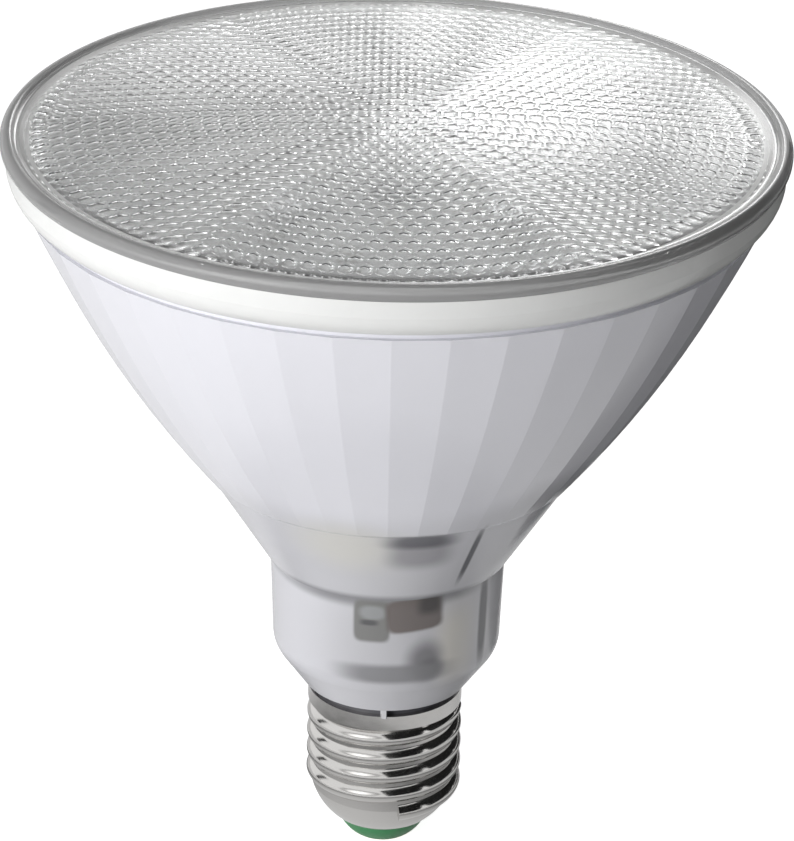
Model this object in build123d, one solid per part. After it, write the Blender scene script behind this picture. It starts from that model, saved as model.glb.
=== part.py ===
"""LED grow lamp: reflector bulb with a screw cap, a translucent bowl and a prismatic glass lens.

Millimetres, +Z up along the lamp's axis, cap down. The origin is the tip of the centre contact,
and -Y is the side that faces the viewer.
"""
import math
import os

from build123d import *

# Screw cap, E27: thread sizes, sheet and heights above the contact's tip
THREAD_CREST_R = 13.15
THREAD_DEPTH = 0.95
THREAD_ROOT_R = THREAD_CREST_R - THREAD_DEPTH
THREAD_PITCH = 3.629
THREAD_START_Z = 10.1
THREAD_TURNS = 4.2
THREAD_END_ANGLE = -77.0
THREAD_RIDGE_SHARE = 0.8
THREAD_BURIED = 0.25
CAP_SHEET = 0.5
CAP_INNER_R = THREAD_ROOT_R - CAP_SHEET
CAP_RIM_Z = 29.2
CAP_RIM_BAND = 3.2
CAP_SHOULDER_Z = 10.4
CAP_MOUTH_R = CAP_INNER_R * 0.662
CAP_MOUTH_Z = 4.5
CAP_MOUTH_LAND = 0.4

# Insulator and centre contact
INSULATOR_FACE_R = CAP_MOUTH_R * 0.645
INSULATOR_FACE_Z = 0.7
INSULATOR_PLUG_R = CAP_MOUTH_R + 1.25
INSULATOR_TOP_Z = 9.0
CONTACT_R = INSULATOR_FACE_R - 0.6
CONTACT_FLAT_R = CONTACT_R * 0.36
CONTACT_T = 1.2
CONTACT_RIM = 0.5
LEAD_BORE_R = 1.2

# Lower housing: outside radii and heights, walls, floor and spigots
NECK_TOP_R = 19.65
NECK_TOP_Z = 55.0
NECK_BOTTOM_R = NECK_TOP_R - 0.6
NECK_BOTTOM_Z = 38.0
NECK_ROUND = 5.0
LOWER_FOOT_R = THREAD_CREST_R + 0.95
LOWER_FOOT_Z = 31.0
CONE_FOOT_R = NECK_TOP_R + 0.75
CONE_FLARE = 10.5
CONE_TOP_R = CONE_FOOT_R + CONE_FLARE
CONE_TOP_Z = 71.8
LOWER_WALL = 1.8
FLOOR_T = 4.0
FLOOR_BORE_R = THREAD_ROOT_R - 2.0
CAP_SPIGOT_R = CAP_INNER_R - 0.2
CAP_SPIGOT_Z = 24.0
CAP_BOSS_R = THREAD_ROOT_R - 0.2
KEY_WIDTH = 0.9
BOWL_SPIGOT_R = CONE_TOP_R - 2.1
BOWL_SPIGOT_H = 4.0
BOWL_SPIGOT_WALL = 1.7
RAIL_T = 1.2
RAIL_DEPTH = 1.3
RAIL_FIT = 0.1

# Bowl: a faceted shell whose side is one arc, from its lip on the cone up to the collar
LENS_R = 63.5
BOWL_TOP_R = LENS_R - 3.6
BOWL_TOP_Z = 119.5
BOWL_FOOT_R = CONE_TOP_R + 1.0
BOWL_FOOT_Z = CONE_TOP_Z + 0.7
BOWL_BULGE = 1.81
BOWL_WALL = 2.0
BOWL_RIM_R = BOWL_TOP_R - 0.9
BOWL_RIM_H = 1.2
BOWL_LEDGE_H = 7.0
BOWL_LEDGE_Z = BOWL_FOOT_Z + BOWL_LEDGE_H
BOWL_LEDGE = 1.9
FACETS = 42
FACET_RINGS = 7
SPIGOT_FIT = 0.2

# Collar ring, with the gasket in its groove
COLLAR_R = LENS_R - 0.9
COLLAR_FOOT_R = BOWL_TOP_R + 0.5
COLLAR_BAND_H = 2.8
COLLAR_H = 6.3
COLLAR_BORE_R = BOWL_RIM_R - 0.4
COLLAR_BORE_DEPTH = 3.3
COLLAR_SPIGOT_WALL = 1.7
COLLAR_FIT = 0.3
GASKET_R = COLLAR_BORE_R + 2.6
GASKET_WIDTH = 1.6
GASKET_T = 0.8

# Glass lens: bead, dome and the rings of ridges under it
LENS_BEAD_H = 2.7
LENS_BEAD_Z = 1.0
LENS_RIM_R = LENS_R - 1.3
LENS_DOME_H = 3.2
LENS_T = 2.7
LENSLET_RINGS = 21
LENSLET_PITCH = (COLLAR_BORE_R - 0.9) / (LENSLET_RINGS + 0.5)
LENSLET_DEPTH = 0.6

# LED board, pad, heat spreader and reflector
SPREADER_DROP = 4.6
SPREADER_Z = BOWL_TOP_Z - SPREADER_DROP
SPREADER_T = 2.5
SPREADER_WALL = 1.5
SPREADER_FIT = 0.3
PAD_T = 0.5
LED_BOARD_T = 1.6
LED_BOARD_MARGIN = 9.9
LED_BOARD_R = BOWL_TOP_R - LED_BOARD_MARGIN
PAD_R = LED_BOARD_R - 2.0
WIRE_HOLE_R = 4.0
REFLECTOR_T = 0.9
REFLECTOR_TOP_R = COLLAR_BORE_R - 0.6
REFLECTOR_TOP_DROP = 1.6
REFLECTOR_FOOT_R = LED_BOARD_R - 1.0
REFLECTOR_FLANGE = 3.0
LED_RING_RADII = tuple(LED_BOARD_R * share for share in (0.28, 0.54, 0.80))
LED_RING_COUNTS = (6, 12, 18)
LED_SIDE = 3.2
LED_H = 0.8
LED_WINDOW_R = 1.2
LED_WINDOW_H = 0.35
SCREW_CIRCLE_R = LED_BOARD_R * 0.41
SCREW_COUNT = 3
SCREW_SHANK_R = 1.5
SCREW_SOCKET_R = 1.3
SCREW_SOCKET_DEPTH = 0.9
SCREW_HEAD_R = 2.8
SCREW_HEAD_H = 1.8
SCREW_HOLE_FIT = 0.2

# Driver board, upright in the neck and cone
BOARD_T = 1.6
BOARD_SETBACK = 10.65
BOARD_Y = BOARD_SETBACK - NECK_TOP_R
BOARD_EDGE_GAP = 5.35
BOARD_NECK_HALF = NECK_TOP_R - BOARD_EDGE_GAP
BOARD_FOOT_STEP = 2.8
BOARD_FOOT_HALF = BOARD_NECK_HALF - BOARD_FOOT_STEP
BOARD_FOOT_H = 4.6
BOARD_WIDE_HALF = 19.0
BOARD_STEP_Z = 61.5
BOARD_STEP_H = 3.5
BOARD_TOP_Z = 75.0

# Parts on the board's front face: places along X and Z, and how far they stand off it
TRAFO_LEFT, TRAFO_W = -0.5, 11.0
TRAFO_LOW, TRAFO_H = 60.5, 11.0
TRAFO_DEPTH = 8.0
TRAFO_LEG = 2.4
TRAFO_GAP = 1.0
COIL_PROUD = 1.2
FILM_LEFT, FILM_W = 0.5, 8.2
FILM_LOW, FILM_H = 47.5, 6.5
FILM_DEPTH = 5.5
BRIDGE_LEFT, BRIDGE_W = -6.0, 5.5
BRIDGE_LOW, BRIDGE_H = 40.5, 6.5
BRIDGE_DEPTH = 1.0
CHOKE_X, CHOKE_Z = 6.6, 41.0
CHOKE_R = 3.9
CHOKE_WAIST_R = 3.3
CHOKE_FLANGE = 1.0
CHOKE_WAIST_H = 2.4
FUSE_LEFT, FUSE_W = -5.3, 5.0
FUSE_Z = 50.0
FUSE_R = 1.4
FUSE_LIFT = 3.2
FUSE_LEG_R = 0.35
FUSE_LEG_INSET = 0.5

# Parts on the board's back face
INPUT_CAN_X, INPUT_CAN_Z = 8.0, 47.0
INPUT_CAN_R = 5.0
INPUT_CAN_GAP = 3.65
INPUT_CAN_L = NECK_TOP_R - INPUT_CAN_GAP
OUTPUT_CAN_X, OUTPUT_CAN_Z = 8.5, 67.0
OUTPUT_CAN_R, OUTPUT_CAN_L = 6.3, 18.0
CAN_EDGE = 0.6
CHIP_LEFT, CHIP_W = -13.0, 5.0
CHIP_LOW, CHIP_H = 60.0, 5.0
CHIP_DEPTH = 1.5

# Leads: one gauge, and the places that their routes pass
WIRE_R = 0.75
WIRE_BEND = 1.2
LIVE_X = 3.0
NEUTRAL_X = -6.5
MAINS_Y = -3.5
MAINS_Z = 41.0
MAINS_TURN_Z = 34.0
CAP_LEAD_Z = 20.5
LED_LEAD_X = 1.7
LED_PAD_X = 7.2
LED_LEAD_RISE = 2.6
LED_LEAD_MEET_Z = 104.0
PLUS_X = -6.0
PLUS_Z = 72.0
PLUS_TURN_Z = 90.0
MINUS_X = 10.2
MINUS_Z = 57.0
MINUS_PROUD = 5.0
MINUS_LOW_RISE = 7.5
MINUS_LOW_ANGLE = -56.0
MINUS_HIGH_ANGLE = -53.5
MINUS_WALL_GAP = 1.75

PARTS = "parts"


def solid_of(points):
    """Turn a closed outline of (radius, height) points about the lamp's axis."""
    outline = Polyline(*[(r, 0, z) for r, z in points], close=True)
    return revolve(make_face(outline), Axis.Z)


def drum(radius, z_low, z_high):
    """An upright cylinder on the lamp's axis."""
    return Pos(0, 0, z_low) * Cylinder(radius, z_high - z_low, align=(Align.CENTER, Align.CENTER, Align.MIN))


def block(x, y, z):
    """A box between the given (low, high) pairs."""
    size = (x[1] - x[0], y[1] - y[0], z[1] - z[0])
    return Pos(x[0], y[0], z[0]) * Box(*size, align=(Align.MIN, Align.MIN, Align.MIN))


def polar(radius, angle):
    """The (x, y) of a point at a radius and an angle in degrees."""
    return radius * math.cos(math.radians(angle)), radius * math.sin(math.radians(angle))


def wire(points):
    """A round lead along straight runs joined by tangent arcs."""
    path = FilletPolyline(*points, radius=WIRE_BEND)
    section = Plane(origin=path @ 0, z_dir=path % 0) * Circle(WIRE_R)
    return sweep(section, path=path)


# The bowl's side is an arc from its foot to its top; these give its centre and radius
BOWL_CHORD = math.hypot(BOWL_TOP_R - BOWL_FOOT_R, BOWL_TOP_Z - BOWL_FOOT_Z)
BOWL_ARC_R = BOWL_CHORD ** 2 / (8 * BOWL_BULGE) + BOWL_BULGE / 2
ARC_REACH = BOWL_ARC_R - BOWL_BULGE
ARC_R = (BOWL_TOP_R + BOWL_FOOT_R) / 2 - ARC_REACH * (BOWL_TOP_Z - BOWL_FOOT_Z) / BOWL_CHORD
ARC_Z = (BOWL_TOP_Z + BOWL_FOOT_Z) / 2 + ARC_REACH * (BOWL_TOP_R - BOWL_FOOT_R) / BOWL_CHORD


def bowl_radius(z, inset=0.0):
    """Radius of the bowl's side at a height, moved in by an inset square to the wall."""
    return ARC_R + math.sqrt((BOWL_ARC_R - inset) ** 2 - (z - ARC_Z) ** 2)


def bowl_curve(z_low, z_high, inset):
    """Points up the bowl's side between two heights, at an inset."""
    steps = 8
    heights = [z_low + (z_high - z_low) * i / steps for i in range(steps + 1)]
    return [(bowl_radius(z, inset), z) for z in heights]


COLLAR_SEAT_Z = BOWL_TOP_Z + BOWL_RIM_H
LENS_SEAT_Z = COLLAR_SEAT_Z + COLLAR_H
LENS_EDGE_Z = LENS_SEAT_Z + LENS_BEAD_H
FLOOR_TOP_Z = LOWER_FOOT_Z + FLOOR_T
PAD_Z = SPREADER_Z
LED_BOARD_Z = PAD_Z + PAD_T
LED_FACE_Z = LED_BOARD_Z + LED_BOARD_T
FRONT_Y = BOARD_Y
BACK_Y = BOARD_Y + BOARD_T
TRAFO_X = (TRAFO_LEFT, TRAFO_LEFT + TRAFO_W)
TRAFO_Z = (TRAFO_LOW, TRAFO_LOW + TRAFO_H)


def centre_contact():
    """Domed brass button under the insulator."""
    with BuildPart() as part:
        with BuildSketch(Plane.XZ):
            with BuildLine():
                Line((0, 0), (CONTACT_FLAT_R, 0))
                RadiusArc((CONTACT_FLAT_R, 0), (CONTACT_R, CONTACT_T - CONTACT_RIM), -2 * CONTACT_R)
                Polyline((CONTACT_R, CONTACT_T - CONTACT_RIM), (CONTACT_R, CONTACT_T), (0, CONTACT_T), (0, 0))
            make_face()
        revolve(axis=Axis.Z)
    return part.part


def cap_insulator():
    """Green insulator: a domed face outside the cap and a plug inside it."""
    reach = math.hypot(CAP_MOUTH_R - INSULATOR_FACE_R, CAP_MOUTH_Z - INSULATOR_FACE_Z)
    with BuildPart() as part:
        with BuildSketch(Plane.XZ):
            with BuildLine():
                Line((LEAD_BORE_R, CONTACT_T), (CONTACT_R, CONTACT_T))
                Line((CONTACT_R, CONTACT_T), (CONTACT_R, INSULATOR_FACE_Z))
                Line((CONTACT_R, INSULATOR_FACE_Z), (INSULATOR_FACE_R, INSULATOR_FACE_Z))
                RadiusArc((INSULATOR_FACE_R, INSULATOR_FACE_Z), (CAP_MOUTH_R, CAP_MOUTH_Z), -1.5 * reach)
                Polyline((CAP_MOUTH_R, CAP_MOUTH_Z), (CAP_MOUTH_R, CAP_MOUTH_Z + CAP_MOUTH_LAND),
                         (INSULATOR_PLUG_R, INSULATOR_TOP_Z - 2.0), (INSULATOR_PLUG_R, INSULATOR_TOP_Z),
                         (LEAD_BORE_R, INSULATOR_TOP_Z), (LEAD_BORE_R, CONTACT_T))
            make_face()
        revolve(axis=Axis.Z)
    return part.part


def thread_ridge():
    """The thread: a rounded ridge wound right-handed round the cap."""
    helix = Helix(THREAD_PITCH, THREAD_TURNS * THREAD_PITCH, THREAD_ROOT_R, center=(0, 0, THREAD_START_Z))
    half = THREAD_PITCH * THREAD_RIDGE_SHARE / 2
    edge = half + THREAD_BURIED
    with BuildSketch(Plane(origin=helix @ 0, x_dir=(1, 0, 0), z_dir=helix % 0)) as section:
        with BuildLine():
            crown = Spline((-THREAD_BURIED, -edge), (0.1 * THREAD_DEPTH, -half), (THREAD_DEPTH, 0),
                           (0.1 * THREAD_DEPTH, half), (-THREAD_BURIED, edge))
            Line(crown @ 1, crown @ 0)
        make_face()
    return Rot(0, 0, THREAD_END_ANGLE) * sweep(section.sketch, path=helix, is_frenet=True)


def cap_shell():
    """Plated screw cap with its rolled thread, drawn in to its mouth."""
    rim_r = THREAD_CREST_R - 0.1
    band_z = CAP_RIM_Z - CAP_RIM_BAND
    shoulder = (THREAD_ROOT_R, CAP_SHOULDER_Z)
    mouth = (CAP_MOUTH_R + CAP_SHEET * 0.9, CAP_MOUTH_Z)
    mouth_in = (CAP_MOUTH_R, CAP_MOUTH_Z + CAP_MOUTH_LAND)
    swell = math.dist(shoulder, mouth) * 1.55
    with BuildPart() as part:
        with BuildSketch(Plane.XZ):
            with BuildLine():
                RadiusArc(mouth, shoulder, -swell)
                Polyline(shoulder, (THREAD_ROOT_R, band_z), (rim_r, band_z + 0.6), (rim_r, CAP_RIM_Z),
                         (CAP_INNER_R, CAP_RIM_Z), (CAP_INNER_R, CAP_SHOULDER_Z))
                RadiusArc((CAP_INNER_R, CAP_SHOULDER_Z), mouth_in, swell)
                Polyline(mouth_in, (CAP_MOUTH_R, CAP_MOUTH_Z), mouth)
            make_face()
        revolve(axis=Axis.Z)
    return part.part + thread_ridge()


def lower_housing():
    """Moulded driver housing: foot, neck and cone, with a floor, spigots and board rails."""
    neck_in_low = NECK_BOTTOM_R - LOWER_WALL
    neck_in_high = NECK_TOP_R - LOWER_WALL
    cone_in = CONE_FOOT_R - LOWER_WALL
    spigot_in = BOWL_SPIGOT_R - BOWL_SPIGOT_WALL
    foot_in = min(LOWER_FOOT_R + (NECK_BOTTOM_R - LOWER_FOOT_R) * 0.25, neck_in_low)
    body = solid_of([
        (FLOOR_BORE_R, CAP_SPIGOT_Z), (CAP_SPIGOT_R, CAP_SPIGOT_Z), (CAP_SPIGOT_R, CAP_RIM_Z),
        (CAP_BOSS_R, CAP_RIM_Z), (CAP_BOSS_R, LOWER_FOOT_Z), (LOWER_FOOT_R, LOWER_FOOT_Z),
        (NECK_BOTTOM_R, NECK_BOTTOM_Z), (NECK_TOP_R, NECK_TOP_Z), (CONE_FOOT_R, NECK_TOP_Z),
        (CONE_TOP_R, CONE_TOP_Z), (BOWL_SPIGOT_R, CONE_TOP_Z), (BOWL_SPIGOT_R, CONE_TOP_Z + BOWL_SPIGOT_H),
        (spigot_in, CONE_TOP_Z + BOWL_SPIGOT_H), (spigot_in, CONE_TOP_Z - LOWER_WALL),
        (cone_in, NECK_TOP_Z + LOWER_WALL), (neck_in_high, NECK_TOP_Z), (neck_in_low, NECK_BOTTOM_Z),
        (foot_in, FLOOR_TOP_Z), (FLOOR_BORE_R, FLOOR_TOP_Z)])
    corner = [edge for edge in body.edges().filter_by(GeomType.CIRCLE)
              if abs(edge.radius - NECK_BOTTOM_R) < 0.01 and abs(edge.center().Z - NECK_BOTTOM_Z) < 0.01]
    body = fillet(corner, NECK_ROUND)
    key = block((-KEY_WIDTH / 2, KEY_WIDTH / 2), (-LOWER_FOOT_R + 0.4, -CAP_BOSS_R + 0.4),
                (CAP_RIM_Z, LOWER_FOOT_Z + 0.5))
    body += key
    core = drum(NECK_BOTTOM_R - LOWER_WALL / 2, NECK_BOTTOM_Z, NECK_TOP_Z - 1.0)
    for side in (-1, 1):
        for y_low in (BOARD_Y - RAIL_FIT - RAIL_T, BOARD_Y + BOARD_T + RAIL_FIT):
            x_in = side * (BOARD_NECK_HALF - RAIL_DEPTH)
            x_out = side * (NECK_TOP_R - LOWER_WALL / 2)
            rail = block((min(x_in, x_out), max(x_in, x_out)), (y_low, y_low + RAIL_T),
                         (NECK_BOTTOM_Z, NECK_TOP_Z - 1.0))
            body += rail & core
    return body


def bowl_polygon(z):
    """The bowl's outline at a height, a polygon with one corner towards the viewer."""
    shape = RegularPolygon(bowl_radius(z), FACETS, rotation=-90.0)
    return Pos(0, 0, z) * shape


def upper_housing():
    """Translucent bowl with flat upright facets outside and a round inside."""
    rise = BOWL_TOP_Z - BOWL_FOOT_Z
    heights = [BOWL_FOOT_Z + rise * i / (FACET_RINGS - 1) for i in range(FACET_RINGS)]
    faceted = loft([bowl_polygon(z) for z in heights])
    seat_r = BOWL_SPIGOT_R + SPIGOT_FIT
    inner_foot = BOWL_FOOT_R * math.cos(math.pi / FACETS)
    foot = solid_of([(seat_r, CONE_TOP_Z), (CONE_TOP_R + 0.1, CONE_TOP_Z), (inner_foot, BOWL_FOOT_Z),
                     (seat_r, BOWL_FOOT_Z)])
    rim = solid_of([(bowl_radius(BOWL_TOP_Z, BOWL_WALL), BOWL_TOP_Z), (BOWL_RIM_R, BOWL_TOP_Z),
                    (BOWL_RIM_R, COLLAR_SEAT_Z), (bowl_radius(BOWL_TOP_Z, BOWL_WALL), COLLAR_SEAT_Z)])
    thick = BOWL_WALL + BOWL_LEDGE
    above = bowl_curve(BOWL_LEDGE_Z, BOWL_TOP_Z + 1.0, BOWL_WALL)
    below_z = BOWL_FOOT_Z + BOWL_WALL
    clear_z = CONE_TOP_Z - BOWL_LEDGE_H
    hollow = solid_of([(0, clear_z), (seat_r, clear_z), (seat_r, below_z),
                       (bowl_radius(BOWL_LEDGE_Z, thick), BOWL_LEDGE_Z)] + above + [(0, BOWL_TOP_Z + 1.0)])
    return faceted - hollow + foot + rim


def collar_ring():
    """White ring that joins the glass to the bowl, with a spigot that clamps the spreader."""
    inset = BOWL_WALL + COLLAR_FIT
    spigot_low = bowl_radius(SPREADER_Z, inset)
    spigot_high = bowl_radius(BOWL_TOP_Z, inset)
    spigot_in = spigot_low - COLLAR_SPIGOT_WALL
    z_low, z_top = COLLAR_SEAT_Z, LENS_SEAT_Z
    with BuildPart() as part:
        with BuildSketch(Plane.XZ):
            with BuildLine():
                foot = (COLLAR_FOOT_R, z_low)
                band = (COLLAR_R, z_top - COLLAR_BAND_H)
                RadiusArc(foot, band, -1.35 * math.dist(foot, band))
                Polyline(band, (COLLAR_R, z_top), (COLLAR_BORE_R, z_top),
                         (COLLAR_BORE_R, z_top - COLLAR_BORE_DEPTH), (spigot_in + 2.4, z_low + 0.4),
                         (spigot_in, SPREADER_Z + 3.0), (spigot_in, SPREADER_Z), (spigot_low, SPREADER_Z),
                         (spigot_high, BOWL_TOP_Z), (spigot_high, z_low), foot)
            make_face()
        revolve(axis=Axis.Z)
    groove = solid_of([(GASKET_R - GASKET_WIDTH, z_top - GASKET_T), (GASKET_R, z_top - GASKET_T),
                       (GASKET_R, z_top + 1.0), (GASKET_R - GASKET_WIDTH, z_top + 1.0)])
    return part.part - groove


def lens_gasket():
    """Silicone ring in the collar's groove, under the glass."""
    return solid_of([(GASKET_R - GASKET_WIDTH, LENS_SEAT_Z - GASKET_T), (GASKET_R, LENS_SEAT_Z - GASKET_T),
                     (GASKET_R, LENS_SEAT_Z), (GASKET_R - GASKET_WIDTH, LENS_SEAT_Z)])


def dome_height(r):
    """Height of the glass's outside at a radius."""
    return LENS_EDGE_Z + LENS_DOME_H * (1 - (r / LENS_RIM_R) ** 2)


def lens_cover():
    """Pressed glass: beaded edge, shallow dome, and rings of small convex ridges underneath."""
    array_r = LENSLET_RINGS * LENSLET_PITCH
    edge_r = min(array_r + LENSLET_PITCH / 2, COLLAR_BORE_R - 0.3)
    with BuildPart() as part:
        with BuildSketch(Plane.XZ):
            with BuildLine():
                apex = (0, dome_height(0))
                rim = (LENS_RIM_R, dome_height(LENS_RIM_R))
                ThreePointArc(apex, (LENS_RIM_R / 2, dome_height(LENS_RIM_R / 2)), rim)
                bead = (LENS_R, LENS_SEAT_Z + LENS_BEAD_Z)
                RadiusArc(rim, bead, math.dist(rim, bead))
                Polyline(bead, (LENS_R - 0.4, LENS_SEAT_Z), (edge_r, LENS_SEAT_Z),
                         (edge_r, dome_height(edge_r) - LENS_T))
                at = (edge_r, dome_height(edge_r) - LENS_T)
                for i in range(LENSLET_RINGS, -1, -1):
                    r_in = max((i - 0.5) * LENSLET_PITCH, 0.0)
                    r_mid = min(i * LENSLET_PITCH, (at[0] + r_in) / 2)
                    end = (r_in, dome_height(r_in) - LENS_T)
                    crown = dome_height(r_mid) - LENS_T - LENSLET_DEPTH
                    if i == 0:
                        end = (0, dome_height(0) - LENS_T - LENSLET_DEPTH)
                        Line(at, end)
                    else:
                        Polyline(at, (r_mid, crown), end)
                    at = end
                Line(at, apex)
            make_face()
        revolve(axis=Axis.Z)
    return part.part


def screw_points():
    """Centres of the board's screws."""
    return [polar(SCREW_CIRCLE_R, 90 + 360 * i / SCREW_COUNT) for i in range(SCREW_COUNT)]


def drilled(disc, radius, z_low, z_high):
    """A disc with the screws' holes through it."""
    for x, y in screw_points():
        disc -= Pos(x, y, 0) * drum(radius, z_low - 1.0, z_high + 1.0)
    return disc


def ring_disc(radius, z_low, z_high):
    """A flat disc with the leads' hole in its middle."""
    return drum(radius, z_low, z_high) - drum(WIRE_HOLE_R, z_low - 1.0, z_high + 1.0)


def heat_spreader():
    """Drawn aluminium cup: a plate under the board and a skirt that follows the bowl to its ledge."""
    inset = BOWL_WALL + SPREADER_FIT
    outside = bowl_curve(BOWL_LEDGE_Z, SPREADER_Z, inset)
    inside = bowl_curve(BOWL_LEDGE_Z, SPREADER_Z - SPREADER_T, inset + SPREADER_WALL)
    cup = solid_of([(WIRE_HOLE_R, SPREADER_Z)] + outside[::-1] + inside
                   + [(WIRE_HOLE_R, SPREADER_Z - SPREADER_T)])
    return drilled(cup, SCREW_SHANK_R, SPREADER_Z - SPREADER_T, SPREADER_Z)


def thermal_pad():
    """Soft pad between the spreader and the board."""
    return drilled(ring_disc(PAD_R, PAD_Z, LED_BOARD_Z), SCREW_SHANK_R + SCREW_HOLE_FIT, PAD_Z, LED_BOARD_Z)


def led_board():
    """White aluminium-core board."""
    return drilled(ring_disc(LED_BOARD_R, LED_BOARD_Z, LED_FACE_Z), SCREW_SHANK_R + SCREW_HOLE_FIT,
                   LED_BOARD_Z, LED_FACE_Z)


def board_screws():
    """Pan-head screws that hold the board and pad to the spreader."""
    screws = []
    for x, y in screw_points():
        head = drum(SCREW_HEAD_R, LED_FACE_Z, LED_FACE_Z + SCREW_HEAD_H)
        socket_z = LED_FACE_Z + SCREW_HEAD_H - SCREW_SOCKET_DEPTH
        head -= drum(SCREW_SOCKET_R, socket_z, socket_z + 2.0)
        shank = drum(SCREW_SHANK_R, SPREADER_Z - SPREADER_T, LED_FACE_Z)
        screws.append(Pos(x, y, 0) * (head + shank))
    return Compound(children=screws)


def led_places(colour):
    """Centres and turns of one colour's emitters, dealt out round the rings."""
    deal = ("white", "red", "white", "blue", "white", "red")
    places = []
    for radius, count in zip(LED_RING_RADII, LED_RING_COUNTS):
        for i in range(count):
            if deal[i % len(deal)] == colour:
                angle = 360 * (i + 0.5) / count
                places.append((*polar(radius, angle), angle))
    return places


def led_emitters(colour):
    """Surface-mounted emitters of one colour, each a square package with a low round window."""
    packages = []
    for x, y, angle in led_places(colour):
        body = Pos(0, 0, LED_FACE_Z + LED_H / 2) * Box(LED_SIDE, LED_SIDE, LED_H)
        window = drum(LED_WINDOW_R, LED_FACE_Z + LED_H, LED_FACE_Z + LED_H + LED_WINDOW_H)
        packages.append(Pos(x, y, 0) * Rot(0, 0, angle) * (body + window))
    return Compound(children=packages)


def reflector():
    """White dish between the board's edge and the glass."""
    z_foot = LED_FACE_Z
    z_top = LENS_SEAT_Z - REFLECTOR_TOP_DROP
    return solid_of([(REFLECTOR_FOOT_R - REFLECTOR_FLANGE, z_foot), (REFLECTOR_FOOT_R, z_foot),
                     (REFLECTOR_TOP_R, z_top), (REFLECTOR_TOP_R - REFLECTOR_T, z_top + 0.3),
                     (REFLECTOR_FOOT_R - 0.6, z_foot + REFLECTOR_T),
                     (REFLECTOR_FOOT_R - REFLECTOR_FLANGE, z_foot + REFLECTOR_T)])


def driver_board():
    """Upright circuit board: narrow in the neck, wide in the cone, standing on the floor."""
    half = [(BOARD_FOOT_HALF, FLOOR_TOP_Z), (BOARD_FOOT_HALF, FLOOR_TOP_Z + BOARD_FOOT_H),
            (BOARD_NECK_HALF, FLOOR_TOP_Z + BOARD_FOOT_H), (BOARD_NECK_HALF, BOARD_STEP_Z - BOARD_STEP_H),
            (BOARD_WIDE_HALF, BOARD_STEP_Z), (BOARD_WIDE_HALF, BOARD_TOP_Z)]
    corners = half + [(-x, z) for x, z in half[::-1]]
    outline = make_face(Polyline(*[(x, BOARD_Y, z) for x, z in corners], close=True))
    return extrude(outline, amount=BOARD_T, dir=(0, 1, 0))


def transformer_core():
    """Ferrite core: an outer frame and a middle leg."""
    frame = block(TRAFO_X, (FRONT_Y - TRAFO_DEPTH, FRONT_Y - TRAFO_GAP), TRAFO_Z)
    middle = sum(TRAFO_Z) / 2
    windows = ((TRAFO_Z[0] + TRAFO_LEG, middle - TRAFO_LEG / 2),
               (middle + TRAFO_LEG / 2, TRAFO_Z[1] - TRAFO_LEG))
    for z in windows:
        frame -= block((TRAFO_X[0] + TRAFO_LEG, TRAFO_X[1] - TRAFO_LEG),
                       (FRONT_Y - TRAFO_DEPTH - 1, FRONT_Y), z)
    return frame


def transformer_winding():
    """Taped winding round the core's middle leg, on a bobbin that stands on the board."""
    middle = sum(TRAFO_Z) / 2
    x = (TRAFO_X[0] + TRAFO_LEG, TRAFO_X[1] - TRAFO_LEG)
    z = (TRAFO_Z[0] + TRAFO_LEG, TRAFO_Z[1] - TRAFO_LEG)
    coil = block(x, (FRONT_Y - TRAFO_DEPTH - COIL_PROUD, FRONT_Y), z)
    leg = block((x[0] - 1, x[1] + 1), (FRONT_Y - TRAFO_DEPTH, FRONT_Y - TRAFO_GAP),
                (middle - TRAFO_LEG / 2, middle + TRAFO_LEG / 2))
    return coil - leg


def can_capacitor(x, z, radius, length):
    """Electrolytic capacitor that stands off the back of the board."""
    can = Pos(x, BACK_Y, z) * Rot(-90, 0, 0) * drum(radius, 0, length)
    return fillet(can.edges().sort_by(Axis.Y)[-1], CAN_EDGE)


def front_block(left, low, width, height, depth):
    """A rectangular part that stands off the front of the board."""
    return block((left, left + width), (FRONT_Y - depth, FRONT_Y), (low, low + height))


def driver_chip():
    """Control chip on the back of the board."""
    return block((CHIP_LEFT, CHIP_LEFT + CHIP_W), (BACK_Y, BACK_Y + CHIP_DEPTH),
                 (CHIP_LOW, CHIP_LOW + CHIP_H))


def choke():
    """Drum choke on the front of the board: two flanges and a wound waist."""
    waist_top = CHOKE_FLANGE + CHOKE_WAIST_H
    spool = (drum(CHOKE_R, 0, CHOKE_FLANGE) + drum(CHOKE_WAIST_R, CHOKE_FLANGE, waist_top)
             + drum(CHOKE_R, waist_top, waist_top + CHOKE_FLANGE))
    return Pos(CHOKE_X, FRONT_Y, CHOKE_Z) * Rot(90, 0, 0) * spool


def fuse_resistor():
    """Axial resistor lying across the board on its two bent leads."""
    body = Pos(FUSE_LEFT, FRONT_Y - FUSE_LIFT, FUSE_Z) * Rot(0, 90, 0) * drum(FUSE_R, 0, FUSE_W)
    for x in (FUSE_LEFT + FUSE_LEG_INSET, FUSE_LEFT + FUSE_W - FUSE_LEG_INSET):
        body += Pos(x, FRONT_Y, FUSE_Z) * Rot(90, 0, 0) * drum(FUSE_LEG_R, 0, FUSE_LIFT)
    return body


def lower_inner_radius(z):
    """Inside radius of the cone at a height."""
    share = (z - NECK_TOP_Z) / (CONE_TOP_Z - NECK_TOP_Z)
    return min(CONE_FOOT_R + CONE_FLARE * share - LOWER_WALL * 1.2, BOWL_SPIGOT_R - BOWL_SPIGOT_WALL)


def by_the_wall(angle, z, lift=0.0):
    """A point that keeps to the cone's wall at a height and an angle, raised by a lift."""
    x, y = polar(lower_inner_radius(z) - MINUS_WALL_GAP, angle)
    return x, y, z + lift


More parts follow.
